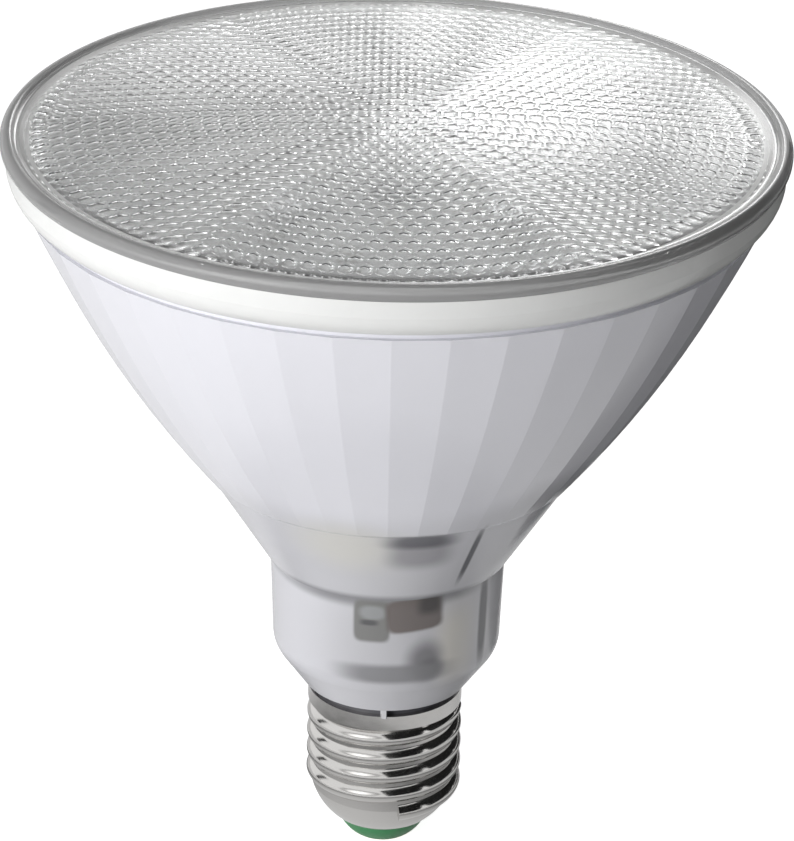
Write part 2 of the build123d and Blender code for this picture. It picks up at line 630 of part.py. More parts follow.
def mains_route(x, start, turn, level):
    """Corners of a mains lead from the cap up to the back face of the board."""
    return start + [(x, MAINS_Y, turn), (x, MAINS_Y, level), (x, BACK_Y, level)]


def led_end(side):
    """Last corners of an LED lead: up through the board's hole, out and down on its pad."""
    loop_z = LED_FACE_Z + LED_LEAD_RISE
    return [(side * LED_LEAD_X, 0, LED_LEAD_MEET_Z), (side * LED_LEAD_X, 0, loop_z),
            (side * LED_PAD_X, 0, loop_z), (side * LED_PAD_X, 0, LED_FACE_Z)]


def live_route():
    """Corners of the live lead, from the centre contact."""
    start = [(0, 0, CONTACT_T), (0, 0, CAP_SPIGOT_Z)]
    return mains_route(LIVE_X, start, MAINS_TURN_Z, MAINS_Z)


def neutral_route():
    """Corners of the neutral lead, from the inside of the cap's shell."""
    start = [(-CAP_INNER_R + WIRE_R + 0.05, 0, CAP_LEAD_Z),
             (-FLOOR_BORE_R + 2 * WIRE_R, 0, CAP_SPIGOT_Z + 0.5)]
    return mains_route(NEUTRAL_X, start, MAINS_TURN_Z, MAINS_Z - 1)


def positive_route():
    """Corners of the positive LED lead, from the back face of the board."""
    start = [(PLUS_X, BACK_Y, PLUS_Z), (PLUS_X, MAINS_Y, PLUS_Z), (PLUS_X, MAINS_Y, PLUS_TURN_Z)]
    return start + led_end(-1)


def negative_route():
    """Corners of the negative LED lead, from the front face of the board and up by the wall."""
    low = by_the_wall(MINUS_LOW_ANGLE, NECK_TOP_Z + MINUS_LOW_RISE)
    high = by_the_wall(MINUS_HIGH_ANGLE, CONE_TOP_Z - 1.0)
    top = by_the_wall(MINUS_HIGH_ANGLE, CONE_TOP_Z - 1.0, BOWL_SPIGOT_H + 4.0)
    start = [(MINUS_X, FRONT_Y, MINUS_Z), (MINUS_X, FRONT_Y - MINUS_PROUD, MINUS_Z), low, high, top]
    return start + led_end(1)


def build():
    """Every piece of the lamp by name."""
    return {
        "lens_cover": lens_cover(),
        "lens_gasket": lens_gasket(),
        "collar_ring": collar_ring(),
        "upper_housing": upper_housing(),
        "lower_housing": lower_housing(),
        "cap_shell": cap_shell(),
        "cap_insulator": cap_insulator(),
        "centre_contact": centre_contact(),
        "reflector": reflector(),
        "led_board": led_board(),
        "led_emitters_white": led_emitters("white"),
        "led_emitters_red": led_emitters("red"),
        "led_emitters_blue": led_emitters("blue"),
        "board_screws": board_screws(),
        "thermal_pad": thermal_pad(),
        "heat_spreader": heat_spreader(),
        "driver_board": driver_board(),
        "transformer_core": transformer_core(),
        "transformer_winding": transformer_winding(),
        "input_capacitor": can_capacitor(INPUT_CAN_X, INPUT_CAN_Z, INPUT_CAN_R, INPUT_CAN_L),
        "output_capacitor": can_capacitor(OUTPUT_CAN_X, OUTPUT_CAN_Z, OUTPUT_CAN_R, OUTPUT_CAN_L),
        "film_capacitor": front_block(FILM_LEFT, FILM_LOW, FILM_W, FILM_H, FILM_DEPTH),
        "bridge_rectifier": front_block(BRIDGE_LEFT, BRIDGE_LOW, BRIDGE_W, BRIDGE_H, BRIDGE_DEPTH),
        "driver_chip": driver_chip(),
        "choke": choke(),
        "fuse_resistor": fuse_resistor(),
        "live_lead": wire(live_route()),
        "neutral_lead": wire(neutral_route()),
        "led_lead_positive": wire(positive_route()),
        "led_lead_negative": wire(negative_route()),
    }


os.makedirs(PARTS, exist_ok=True)
for node, shape in build().items():
    export_step(shape, f"{PARTS}/{node}.step")
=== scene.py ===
"""Visual model of a reflector-shaped LED grow lamp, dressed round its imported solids."""

import logging
import math
from dataclasses import dataclass
from enum import Enum

import bmesh
import bpy
from mathutils import Euler, Matrix, Quaternion, Vector


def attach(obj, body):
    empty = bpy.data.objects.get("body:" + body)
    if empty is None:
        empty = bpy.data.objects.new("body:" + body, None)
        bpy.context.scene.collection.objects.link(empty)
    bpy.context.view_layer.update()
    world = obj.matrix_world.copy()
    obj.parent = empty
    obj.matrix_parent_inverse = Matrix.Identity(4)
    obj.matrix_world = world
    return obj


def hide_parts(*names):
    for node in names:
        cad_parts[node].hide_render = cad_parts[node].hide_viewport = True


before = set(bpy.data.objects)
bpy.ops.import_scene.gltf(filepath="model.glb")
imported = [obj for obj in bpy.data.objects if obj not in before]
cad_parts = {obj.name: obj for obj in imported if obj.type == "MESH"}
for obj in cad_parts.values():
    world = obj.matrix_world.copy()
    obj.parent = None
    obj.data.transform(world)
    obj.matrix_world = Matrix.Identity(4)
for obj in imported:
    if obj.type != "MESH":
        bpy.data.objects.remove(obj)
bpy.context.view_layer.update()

LOG = logging.getLogger("lamp")
MM = 0.001
CELL_SIDES = 6
SECTOR = math.pi / 3
NEAR_ZERO = 1e-6
NOISE_LOW = 0.3
NOISE_HIGH = 0.7
Colour = tuple[float, float, float]
Point = tuple[float, float, float]
Size = tuple[float, float]


class Slot(Enum):
    """Names of the record's material slots."""

    GLASS = "lens_glass"


class Calc(Enum):
    """The sums that the materials' math nodes do."""

    ADD = "ADD"
    MULTIPLY = "MULTIPLY"
    POWER = "POWER"
    ROOT = "SQRT"
    SIZE = "ABSOLUTE"
    LARGER = "MAXIMUM"


class Graph:
    """A material's node tree, with short calls to add and join nodes."""

    def __init__(self, name: str) -> None:
        """Start a material that holds a principled shader joined to its output.

        Args:
            name: The material's name.
        """
        self.material = bpy.data.materials.new(name)
        self.material.use_nodes = True
        self.tree = self.material.node_tree
        self.shader = self.tree.nodes["Principled BSDF"]
        self.output = self.tree.nodes["Material Output"]

    def add(self, kind: str, **settings: object) -> bpy.types.Node:
        """Add a node and set its own properties.

        Args:
            kind: The node's type name.
            settings: Properties of the node by name.

        Returns:
            The new node.
        """
        node = self.tree.nodes.new(kind)
        for key, value in settings.items():
            setattr(node, key, value)
        return node

    def join(self, source: bpy.types.NodeSocket, target: bpy.types.NodeSocket) -> None:
        """Link one socket to another."""
        self.tree.links.new(source, target)

    def place(self) -> bpy.types.NodeSocket:
        """Return the object coordinates' socket."""
        return self.add("ShaderNodeTexCoord").outputs["Object"]

    def noise(self, scale: float, detail: float = 3.0) -> bpy.types.NodeSocket:
        """Add a noise texture on object coordinates.

        Args:
            scale: Its scale, in waves a metre.
            detail: Its number of octaves.

        Returns:
            The texture's value.
        """
        node = self.add("ShaderNodeTexNoise")
        node.inputs["Scale"].default_value = scale
        node.inputs["Detail"].default_value = detail
        self.join(self.place(), node.inputs["Vector"])
        return node.outputs["Fac"]

    def calc(self, kind: Calc, first: bpy.types.NodeSocket,
             second: object = None) -> bpy.types.NodeSocket:
        """Add a math node.

        Args:
            kind: The sum that it does.
            first: The socket for its first input.
            second: A socket or a number for its second input.

        Returns:
            The result's socket.
        """
        node = self.add("ShaderNodeMath", operation=kind.value)
        self.join(first, node.inputs[0])
        if isinstance(second, bpy.types.NodeSocket):
            self.join(second, node.inputs[1])
        elif second is not None:
            node.inputs[1].default_value = second
        return node.outputs[0]

    def axes(self) -> bpy.types.NodeOutputs:
        """Return the X, Y and Z sockets of the object coordinates."""
        split = self.add("ShaderNodeSeparateXYZ")
        self.join(self.place(), split.inputs["Vector"])
        return split.outputs

    def ramp(self, value: bpy.types.NodeSocket, low: float, high: float, to_low: float,
             to_high: float, smooth: bool = False) -> bpy.types.NodeSocket:
        """Map a value from one range to another, clamped.

        Args:
            value: The socket to map.
            low: Start of the range read.
            high: End of the range read.
            to_low: What low becomes.
            to_high: What high becomes.
            smooth: Whether the change eases in and out.

        Returns:
            The mapped value's socket.
        """
        ease = "SMOOTHSTEP" if smooth else "LINEAR"
        node = self.add("ShaderNodeMapRange", interpolation_type=ease)
        self.join(value, node.inputs["Value"])
        limits = {"From Min": low, "From Max": high, "To Min": to_low, "To Max": to_high}
        for key, number in limits.items():
            node.inputs[key].default_value = number
        return node.outputs["Result"]

    def blend(self, share: bpy.types.NodeSocket, first: object,
              second: object) -> bpy.types.NodeSocket:
        """Mix two colours.

        Args:
            share: How much of the second colour shows.
            first: A socket or a colour.
            second: A socket or a colour.

        Returns:
            The mixed colour's socket.
        """
        node = self.add("ShaderNodeMix", data_type="RGBA")
        self.join(share, node.inputs["Factor"])
        for index, item in ((6, first), (7, second)):
            if isinstance(item, bpy.types.NodeSocket):
                self.join(item, node.inputs[index])
            else:
                node.inputs[index].default_value = (*item, 1.0)
        return node.outputs[2]

    def mix(self, share: bpy.types.NodeSocket, first: bpy.types.NodeSocket,
            second: bpy.types.NodeSocket) -> bpy.types.NodeSocket:
        """Mix two shaders.

        Args:
            share: How much of the second shader shows.
            first: The first shader's socket.
            second: The second shader's socket.

        Returns:
            The mixed shader's socket.
        """
        node = self.add("ShaderNodeMixShader")
        self.join(share, node.inputs["Fac"])
        self.join(first, node.inputs[1])
        self.join(second, node.inputs[2])
        return node.outputs["Shader"]

    def bump(self, height: bpy.types.NodeSocket, distance: float, strength: float = 1.0) -> None:
        """Drive the shader's normal from a height.

        Args:
            height: The height's socket.
            distance: The height's size in metres.
            strength: How strongly it shows.
        """
        node = self.add("ShaderNodeBump")
        node.inputs["Distance"].default_value = distance
        node.inputs["Strength"].default_value = strength
        self.join(height, node.inputs["Height"])
        self.join(node.outputs["Normal"], self.shader.inputs["Normal"])

    def set(self, **values: object) -> None:
        """Set the shader's own sockets.

        Args:
            values: The values by socket name, with underscores for spaces; a tuple is a colour.
        """
        for key, value in values.items():
            socket = self.shader.inputs[key.replace("_", " ")]
            socket.default_value = (*value, 1.0) if isinstance(value, tuple) else value


@dataclass(frozen=True)
class Moulded:
    """Glossy moulded plastic or a similar plain finish with a faint mottle and grain."""

    name: str
    colour: Colour
    roughness: float = 0.3
    mottle: float = 0.06
    mottle_scale: float = 225.0
    grain_scale: float = 900.0
    grain_height: float = 0.02
    uneven: float = 0.15
    metallic: float = 0.0

    def make(self) -> bpy.types.Material:
        """Return the material."""
        graph = Graph(self.name)
        graph.set(Metallic=self.metallic)
        dark = tuple(c * (1.0 - self.mottle) for c in self.colour)
        share = graph.ramp(graph.noise(self.mottle_scale), NOISE_LOW, NOISE_HIGH, 0.0, 1.0)
        graph.join(graph.blend(share, self.colour, dark), graph.shader.inputs["Base Color"])
        spread = self.roughness * self.uneven
        rough = graph.ramp(graph.noise(self.grain_scale), NOISE_LOW, NOISE_HIGH,
                           self.roughness - spread, self.roughness + spread)
        graph.join(rough, graph.shader.inputs["Roughness"])
        graph.bump(graph.noise(self.grain_scale), self.grain_height * MM)
        return graph.material


@dataclass(frozen=True)
class PaintedShade:
    """Painted shade, or painted light where paler: a soft-edged patch where the inside shows
    through a shell.

    It lies on the shell at a turn from the front and leans, in degrees. Its height, width, tallness
    and radius are in mm. A higher square gives it squarer corners.
    """

    turn: float
    height: float
    width: float
    tall: float
    radius: float
    soft: float
    colour: Colour
    strength: float
    lean: float = 0.0
    square: float = 3.0
    depth_full: float = 0.8
    depth_none: float = 1.2

    def mask(self, graph: Graph) -> bpy.types.NodeSocket:
        """Add the nodes that give the painted shade's share at a point.

        Args:
            graph: The material's graph.

        Returns:
            The share's socket.
        """
        angle = math.radians(self.turn)
        lean = Euler((0.0, math.radians(self.lean), angle)).to_matrix().to_euler()
        node = graph.add("ShaderNodeMapping", vector_type="TEXTURE")
        spot = Vector((self.radius * math.sin(angle), -self.radius * math.cos(angle), self.height))
        node.inputs["Location"].default_value = spot * MM
        node.inputs["Rotation"].default_value = lean
        size = Vector((self.width / 2, self.radius, self.tall / 2))
        node.inputs["Scale"].default_value = size * MM
        graph.join(graph.place(), node.inputs["Vector"])
        split = graph.add("ShaderNodeSeparateXYZ")
        graph.join(node.outputs["Vector"], split.inputs["Vector"])
        across, depth, up = (graph.calc(Calc.SIZE, split.outputs[index]) for index in range(3))
        total = graph.calc(Calc.ADD, graph.calc(Calc.POWER, across, self.square),
                           graph.calc(Calc.POWER, up, self.square))
        away = graph.calc(Calc.POWER, total, 1.0 / self.square)
        share = graph.ramp(away, max(1.0 - self.soft, 0.0), 1.0 + self.soft, self.strength, 0.0,
                           smooth=True)
        near = graph.ramp(depth, self.depth_full, self.depth_none, 1.0, 0.0)
        return graph.calc(Calc.MULTIPLY, share, near)


@dataclass(frozen=True)
class ShellPlastic:
    """Translucent white shell plastic: cool white, glossy, with painted shade and light for what is
    inside.

    Below a set height, in mm, it turns to a darker colour over twice a set softness: painted shade.
    """

    name: str
    colour: Colour
    shade_below: float
    shade_colour: Colour
    shade_soft: float
    shades: tuple[PaintedShade, ...]
    cloud: float = 0.015
    cloud_scale: float = 60.0
    wave_scale: float = 140.0
    wave_height: float = 0.06

    def make(self) -> bpy.types.Material:
        """Return the material."""
        graph = Graph(self.name)
        graph.set(Roughness=0.22, Specular_IOR_Level=0.45, Coat_Weight=0.25, Coat_Roughness=0.08)
        colour = graph.blend(graph.ramp(graph.noise(self.cloud_scale), 0.35, 0.65, 0.0, 1.0),
                             self.colour, tuple(c * (1.0 - self.cloud) for c in self.colour))
        # Painted shade: the colour turns darker below a set height.
        share = graph.ramp(graph.axes()["Z"], (self.shade_below - self.shade_soft) * MM,
                           (self.shade_below + self.shade_soft) * MM, 1.0, 0.0, smooth=True)
        colour = graph.blend(share, colour, self.shade_colour)
        # Painted shade and painted light for what shows through the shell.
        for shade in self.shades:
            colour = graph.blend(shade.mask(graph), colour, shade.colour)
        graph.join(colour, graph.shader.inputs["Base Color"])
        graph.bump(graph.noise(self.wave_scale, 2.0), self.wave_height * MM, 0.5)
        return graph.material


@dataclass(frozen=True)
class PressedGlass:
    """Clear pressed glass, faintly wavy, with painted shade that makes it greyer at its margin and
    in its thick bead.
    """

    name: str
    tint: Colour = (0.97, 0.98, 0.98)
    margin_shade_tint: Colour = (0.70, 0.70, 0.70)
    margin: float = 58.8
    bead: float = 61.2
    bead_shade_tint: Colour = (0.45, 0.45, 0.45)
    bead_roughness: float = 0.12
    bead_share: float = 0.6
    edge: float = 0.3
    shadow_tint: Colour = (0.9, 0.9, 0.9)
    roughness: float = 0.07
    ior: float = 1.48
    wave_scale: float = 90.0
    wave_height: float = 0.1

    def make(self) -> bpy.types.Material:
        """Return the material."""
        graph = Graph(self.name)
        graph.set(Roughness=self.roughness, IOR=self.ior, Transmission_Weight=1.0)
        axes = graph.axes()
        square = graph.calc(Calc.ADD, graph.calc(Calc.POWER, axes["X"], 2.0),
                            graph.calc(Calc.POWER, axes["Y"], 2.0))
        radius = graph.calc(Calc.ROOT, square)
        # Painted shade: the margin gets a darker tint.
        share = graph.ramp(radius, self.margin * MM, (self.margin + self.edge) * MM, 0.0, 1.0)
        tint = graph.blend(share, self.tint, self.margin_shade_tint)
        graph.join(tint, graph.shader.inputs["Base Color"])
        graph.bump(graph.noise(self.wave_scale, 1.0), self.wave_height * MM, 0.25)
        clear = graph.add("ShaderNodeBsdfTransparent")
        clear.inputs["Color"].default_value = (*self.shadow_tint, 1.0)
        path = graph.add("ShaderNodeLightPath")
        glass = graph.mix(path.outputs["Is Shadow Ray"], graph.shader.outputs["BSDF"],
                          clear.outputs["BSDF"])
        # Painted shade: the thick bead mixes in an opaque grey.
        thick = graph.add("ShaderNodeBsdfPrincipled")
        thick.inputs["Base Color"].default_value = (*self.bead_shade_tint, 1.0)
        thick.inputs["Roughness"].default_value = self.bead_roughness
        share = graph.ramp(radius, self.bead * MM, (self.bead + self.edge) * MM, 0.0,
                           self.bead_share)
        graph.join(graph.mix(share, glass, thick.outputs["BSDF"]), graph.output.inputs["Surface"])
        return graph.material


@dataclass(frozen=True)
class PlatedMetal:
    """Bright nickel plate, a little uneven in its shine."""

    name: str
    colour: Colour = (0.64, 0.63, 0.615)
    roughness_low: float = 0.098
    roughness_high: float = 0.196
    stain_scale: float = 420.0
    wave_scale: float = 300.0
    wave_height: float = 0.04

    def make(self) -> bpy.types.Material:
        """Return the material."""
        graph = Graph(self.name)
        graph.set(Metallic=1.0, Base_Color=self.colour)
        rough = graph.ramp(graph.noise(self.stain_scale), NOISE_LOW, NOISE_HIGH,
                           self.roughness_low, self.roughness_high)
        graph.join(rough, graph.shader.inputs["Roughness"])
        graph.bump(graph.noise(self.wave_scale, 2.0), self.wave_height * MM, 0.4)
        return graph.material


def solid(bm: bmesh.types.BMesh, name: str, material: bpy.types.Material) -> bpy.types.Object:
    """Turn a bmesh into an object of the scene.

    Args:
        bm: The finished bmesh, in metres, which is freed.
        name: The object's name.
        material: Its material.

    Returns:
        The new object.
    """
    mesh = bpy.data.meshes.new(name)
    bm.to_mesh(mesh)
    bm.free()
    mesh.materials.append(material)
    piece = bpy.data.objects.new(name, mesh)
    bpy.context.scene.collection.objects.link(piece)
    return piece


def keep(bm: bmesh.types.BMesh, name: str, material: bpy.types.Material, slot: Slot,
         *nodes: str) -> bpy.types.Object:
    """Turn a bmesh into a finished piece that rides on the lamp.

    Args:
        bm: The finished bmesh, in metres, which is freed.
        name: The piece's name.
        material: Its material.
        slot: Not used.
        nodes: The CAD nodes that it stands for.

    Returns:
        The new object.
    """
    piece = solid(bm, name, material)
    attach(piece, "root")
    if nodes:
        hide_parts(*nodes)
    LOG.info("%s: %d faces", name, len(piece.data.polygons))
    return piece


def dress(node: str, material: bpy.types.Material) -> None:
    """Give a CAD node's material slots one material.

    Args:
        node: The node's name.
        material: The material.
    """
    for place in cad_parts[node].material_slots:
        place.material = material
    LOG.info("%s: dressed in %s", node, material.name)


@dataclass
class LensCover:
    """The pressed glass: a shallow dome with rings of six-sided dimples and a beaded edge.

    Sizes are in mm; dimple_steps gives each inset as a share of the pitch and of the depth.
    """

    rings: int = 21
    pitch: float = 2.73
    dimple_depth: float = 0.13
    dimple_steps: tuple[Size, ...] = ((0.07, 0.0), (0.07, 0.50), (0.10, 0.32), (0.12, 0.18))
    thick: float = 2.7
    dome: float = 3.4
    rim_radius: float = 62.2
    rim_z: float = 129.1
    edge_cuts: int = 2
    margin_radii: tuple[float, ...] = (59.2, 60.2, 61.2)
    bead_radius: float = 63.5
    bead_round: float = 1.3
    bead_start: float = 130.0
    bead_end: float = -55.0
    bead_steps: int = 10
    seat_z: float = 127.15
    seat_radii: tuple[float, ...] = (62.9, 60.2)
    inner_radii: tuple[float, ...] = (58.2, 54.0, 47.0, 40.0, 33.0, 26.0, 19.0, 12.0, 6.0, 2.0)
    finish: PressedGlass = PressedGlass("pressed_glass")

    def height(self, radius: float) -> float:
        """Return the dome's height at a radius."""
        return self.rim_z + self.dome * (1.0 - (radius / self.rim_radius) ** 2)

    def ringed(self, spot: Vector) -> Vector:
        """Move a point of a plain honeycomb so that its hexagonal rings become round ones.

        Args:
            spot: The point, in cells from the centre.

        Returns:
            The point, in cells from the centre, on round rings.
        """
        if spot.length < NEAR_ZERO:
            return spot.copy()
        angle = math.atan2(spot.y, spot.x) % (2 * math.pi)
        sector = math.floor(angle / SECTOR + NEAR_ZERO)
        within = angle - sector * SECTOR
        ring = spot.length * math.cos(within - SECTOR / 2) / math.cos(SECTOR / 2)
        share = spot.length * math.sin(within) / math.sin(SECTOR) / ring
        turned = (sector + share) * SECTOR
        return Vector((ring * math.cos(turned), ring * math.sin(turned), spot.z))

    def honeycomb(self, bm: bmesh.types.BMesh) -> None:
        """Lay the cells and bend their rings round.

        Args:
            bm: The bmesh that takes the cells.
        """
        for row in range(-self.rings, self.rings + 1):
            for column in range(-self.rings, self.rings + 1):
                if abs(row + column) > self.rings:
                    continue
                centre = Vector((column + row / 2, row * math.sqrt(3) / 2, 0.0))
                bmesh.ops.create_circle(bm, cap_ends=True, segments=CELL_SIDES,
                                        radius=1 / math.sqrt(3), matrix=Matrix.Translation(centre))
        bmesh.ops.remove_doubles(bm, verts=bm.verts, dist=0.01)
        for vert in bm.verts:
            vert.co = self.ringed(vert.co) * self.pitch * MM
        bm.normal_update()
        bmesh.ops.reverse_faces(bm, faces=[f for f in bm.faces if f.normal.z < 0])
        bm.normal_update()

    def dimple(self, bm: bmesh.types.BMesh) -> None:
        """Sink a shallow dimple into every cell, with a flat rim left between cells.

        Args:
            bm: The bmesh that holds the flat cells.
        """
        for edge in bm.edges:
            edge.smooth = False
        cells = list(bm.faces)
        for share, drop in self.dimple_steps:
            bmesh.ops.inset_individual(bm, faces=cells, thickness=self.pitch * share * MM,
                                       depth=-self.dimple_depth * drop * MM, use_even_offset=True)

    def outline(self) -> list[Size]:
        """Lay out the section from the cells' edge, round the bead, to the underside's middle.

        Returns:
            The section's points, each a radius and a height in mm.
        """
        points = [(radius, self.height(radius)) for radius in self.margin_radii]
        sweep = (self.bead_end - self.bead_start) / (self.bead_steps - 1)
        for step in range(self.bead_steps):
            angle = math.radians(self.bead_start + sweep * step)
            points.append((self.bead_radius - self.bead_round * (1 - math.cos(angle)),
                           self.seat_z + self.bead_round * (1 + math.sin(angle))))
        points += [(radius, self.seat_z) for radius in self.seat_radii]
        points += [(radius, self.height(radius) - self.thick) for radius in self.inner_radii]
        return points

    def close(self, bm: bmesh.types.BMesh) -> None:
        """Carry the cells' outer edge over the margin, round the bead and back under the dome.

        Args:
            bm: The bmesh that holds the cells.
        """
        rim = [e for e in bm.edges if e.is_boundary]
        bmesh.ops.subdivide_edges(bm, edges=rim, cuts=self.edge_cuts)
        loop = [e for e in bm.edges if e.is_boundary]
        corners = {v for e in loop for v in e.verts}
        ordered = sorted(corners, key=lambda v: math.atan2(v.co.y, v.co.x))
        turns = {tuple(v.co): -math.pi + 2 * math.pi * (i + 0.5) / len(ordered)
                 for i, v in enumerate(ordered)}
        for radius, z in self.outline():
            made = bmesh.ops.extrude_edge_only(bm, edges=loop)["geom"]
            loop = [g for g in made if isinstance(g, bmesh.types.BMEdge) and g.is_boundary]
            fresh = [(g, turns[tuple(g.co)]) for g in made if isinstance(g, bmesh.types.BMVert)]
            for vert, turn in fresh:
                vert.co = Vector((radius * math.cos(turn), radius * math.sin(turn), z)) * MM
            turns = {tuple(vert.co): turn for vert, turn in fresh}
        bmesh.ops.holes_fill(bm, edges=loop, sides=0)

    def build(self) -> None:
        """Build the glass and let it stand for its CAD node."""
        bm = bmesh.new()
        self.honeycomb(bm)
        self.dimple(bm)
        for vert in bm.verts:
            vert.co.z += self.height(math.hypot(vert.co.x, vert.co.y) / MM) * MM
        cells = set(bm.edges)
        self.close(bm)
        for edge in set(bm.edges) - cells:
            edge.smooth = True
        for face in bm.faces:
            face.smooth = True
        bmesh.ops.recalc_face_normals(bm, faces=bm.faces)
        keep(bm, "lens_glass_cover", self.finish.make(), Slot.GLASS, "lens_cover")


@dataclass
class Housing:
    """The collar ring, the translucent bowl and the lower housing, with painted shade and light for
    what shows through them.
    """

    # The bowl and the lower housing are one white plastic; the lower housing's darker grey is
    # painted shade.
    white: Colour = (0.785, 0.785, 0.835)
    shell: Colour = (0.62, 0.62, 0.655)
    # Painted shade: the bowl turns a darker white low down, where the dark inside shows through,
    # and the lower housing turns near black at its mouth, painted shadow in the gap over the cap.
    shade_line: float = 76.0
    shade_soft: float = 4.0
    shaded_white: Colour = (0.69, 0.69, 0.73)
    mouth_z: float = 30.95
    mouth_soft: float = 0.12
    mouth_shadow: Colour = (0.09, 0.09, 0.10)

    def cone_shades(self) -> tuple[PaintedShade, ...]:
        """Return the painted shade and light for what shows through the bowl's foot and the cone.
        """
        # Painted shade of the dark inside and of the far side, a warmer-toned patch of painted
        # light, and the painted shadows of a dark box, its darker top and a wire.
        hollow_shade = PaintedShade(2.0, 62.0, 23.0, 12.0, 25.0, 0.7, (0.53, 0.53, 0.55), 0.5, square=2.0)
        far_side_shade = PaintedShade(48.0, 76.5, 20.0, 9.0, 33.0, 0.8, (0.40, 0.40, 0.43), 0.55, square=2.0)
        warm_light_patch = PaintedShade(-13.0, 69.0, 16.0, 11.0, 29.0, 0.7, (0.64, 0.63, 0.59), 0.8, square=2.0)
        transformer_shadow = PaintedShade(11.0, 67.4, 10.0, 7.2, 28.2, 0.45, (0.27, 0.265, 0.285), 0.78)
        transformer_top_shadow = PaintedShade(10.4, 70.6, 10.8, 3.4, 30.5, 0.5, (0.10, 0.10, 0.115), 0.88)
        lead_shadow = PaintedShade(30.2, 65.2, 1.15, 12.8, 27.0, 0.4, (0.07, 0.07, 0.085), 0.94, lean=-2.9)
        return hollow_shade, far_side_shade, warm_light_patch, transformer_shadow, transformer_top_shadow, lead_shadow

    def neck_shades(self) -> tuple[PaintedShade, ...]:
        """Return the painted shade and light for what shows through the neck and the taper."""
        # Painted shadow under the cone's step and shade of the dark inside; painted light in a
        # warmer-toned patch and on the right; painted shadows of the driver's parts, the choke
        # among them, and of the board's edge.
        step = PaintedShade(0.0, 54.5, 31.0, 2.6, 19.6, 0.7, (0.09, 0.09, 0.10), 0.88, square=2.5)
        hollow_shade = PaintedShade(2.0, 46.0, 22.0, 18.0, 19.4, 0.6, (0.45, 0.45, 0.47), 0.65)
        warm_light_patch = PaintedShade(38.0, 45.0, 7.5, 13.0, 19.3, 0.6, (0.66, 0.64, 0.59), 0.85)
        pale_right_light = PaintedShade(66.0, 47.0, 13.0, 22.0, 19.3, 0.6, (0.90, 0.90, 0.93), 0.85)
        fuse_shadow = PaintedShade(-7.0, 50.6, 6.0, 7.8, 19.5, 0.12, (0.185, 0.185, 0.18), 0.95, square=6.0)
        fuse_pale_shadow = PaintedShade(-6.6, 52.2, 4.2, 2.5, 19.5, 0.35, (0.30, 0.31, 0.315), 0.95,
                               square=2.5)
        fuse_line_shadow = PaintedShade(-8.3, 50.3, 2.8, 1.0, 19.5, 0.5, (0.09, 0.09, 0.095), 0.9)
        film_shadow = PaintedShade(14.0, 51.7, 9.4, 6.2, 19.5, 0.13, (0.135, 0.115, 0.108), 0.95, lean=-5.0,
                         square=6.0)
        film_corner_shadow = PaintedShade(21.5, 53.4, 4.0, 3.4, 19.5, 0.6, (0.04, 0.037, 0.038), 0.85)
        choke = PaintedShade(20.0, 42.9, 5.8, 6.8, 19.3, 0.6, (0.16, 0.157, 0.168), 0.88, square=2.0)
        choke_foot_shadow = PaintedShade(22.5, 41.0, 4.0, 3.4, 19.2, 0.7, (0.10, 0.097, 0.108), 0.8,
                               square=2.0)
        low_band_shade = PaintedShade(5.0, 40.6, 17.0, 3.4, 19.2, 0.4, (0.21, 0.21, 0.22), 0.9, square=3.5)
        board_edge_shadow = PaintedShade(55.5, 47.5, 2.2, 16.0, 19.3, 0.35, (0.20, 0.20, 0.215), 0.9)
        return (step, hollow_shade, warm_light_patch, pale_right_light, fuse_shadow, fuse_pale_shadow, fuse_line_shadow, film_shadow, film_corner_shadow,
                choke, choke_foot_shadow, low_band_shade, board_edge_shadow)

    def build(self) -> None:
        """Dress the three moulded pieces and the gasket."""
        dress("collar_ring", Moulded("collar_white", (0.83, 0.835, 0.825), 0.2, 0.02).make())
        dress("lens_gasket", Moulded("gasket_clear", (0.78, 0.78, 0.77), 0.5).make())
        cone = self.cone_shades()
        # The key is painted back to about the plastic's own colour, over the painted shadow at the
        # housing's mouth.
        key = PaintedShade(-0.6, 30.0, 1.0, 3.0, 13.0, 0.05, (0.60, 0.60, 0.62), 1.0, square=8.0)
        bowl = ShellPlastic("bowl_translucent", self.white, self.shade_line, self.shaded_white,
                            self.shade_soft, cone)
        lower = ShellPlastic("housing_translucent", self.shell, self.mouth_z, self.mouth_shadow,
                             self.mouth_soft, cone + self.neck_shades() + (key,))
        dress("upper_housing", bowl.make())
        dress("lower_housing", lower.make())


@dataclass
class ScrewCap:
    """The plated cap, its green insulator and the centre contact."""

    plate: PlatedMetal = PlatedMetal("cap_nickel")
    insulator: Moulded = Moulded("insulator_green", (0.042, 0.225, 0.083), 0.45)
    contact: Moulded = Moulded("contact_brass", (0.75, 0.62, 0.35), 0.25, metallic=1.0)

    def build(self) -> None:
        """Dress the cap's pieces."""
        dress("cap_shell", self.plate.make())
        dress("cap_insulator", self.insulator.make())
        dress("centre_contact", self.contact.make())


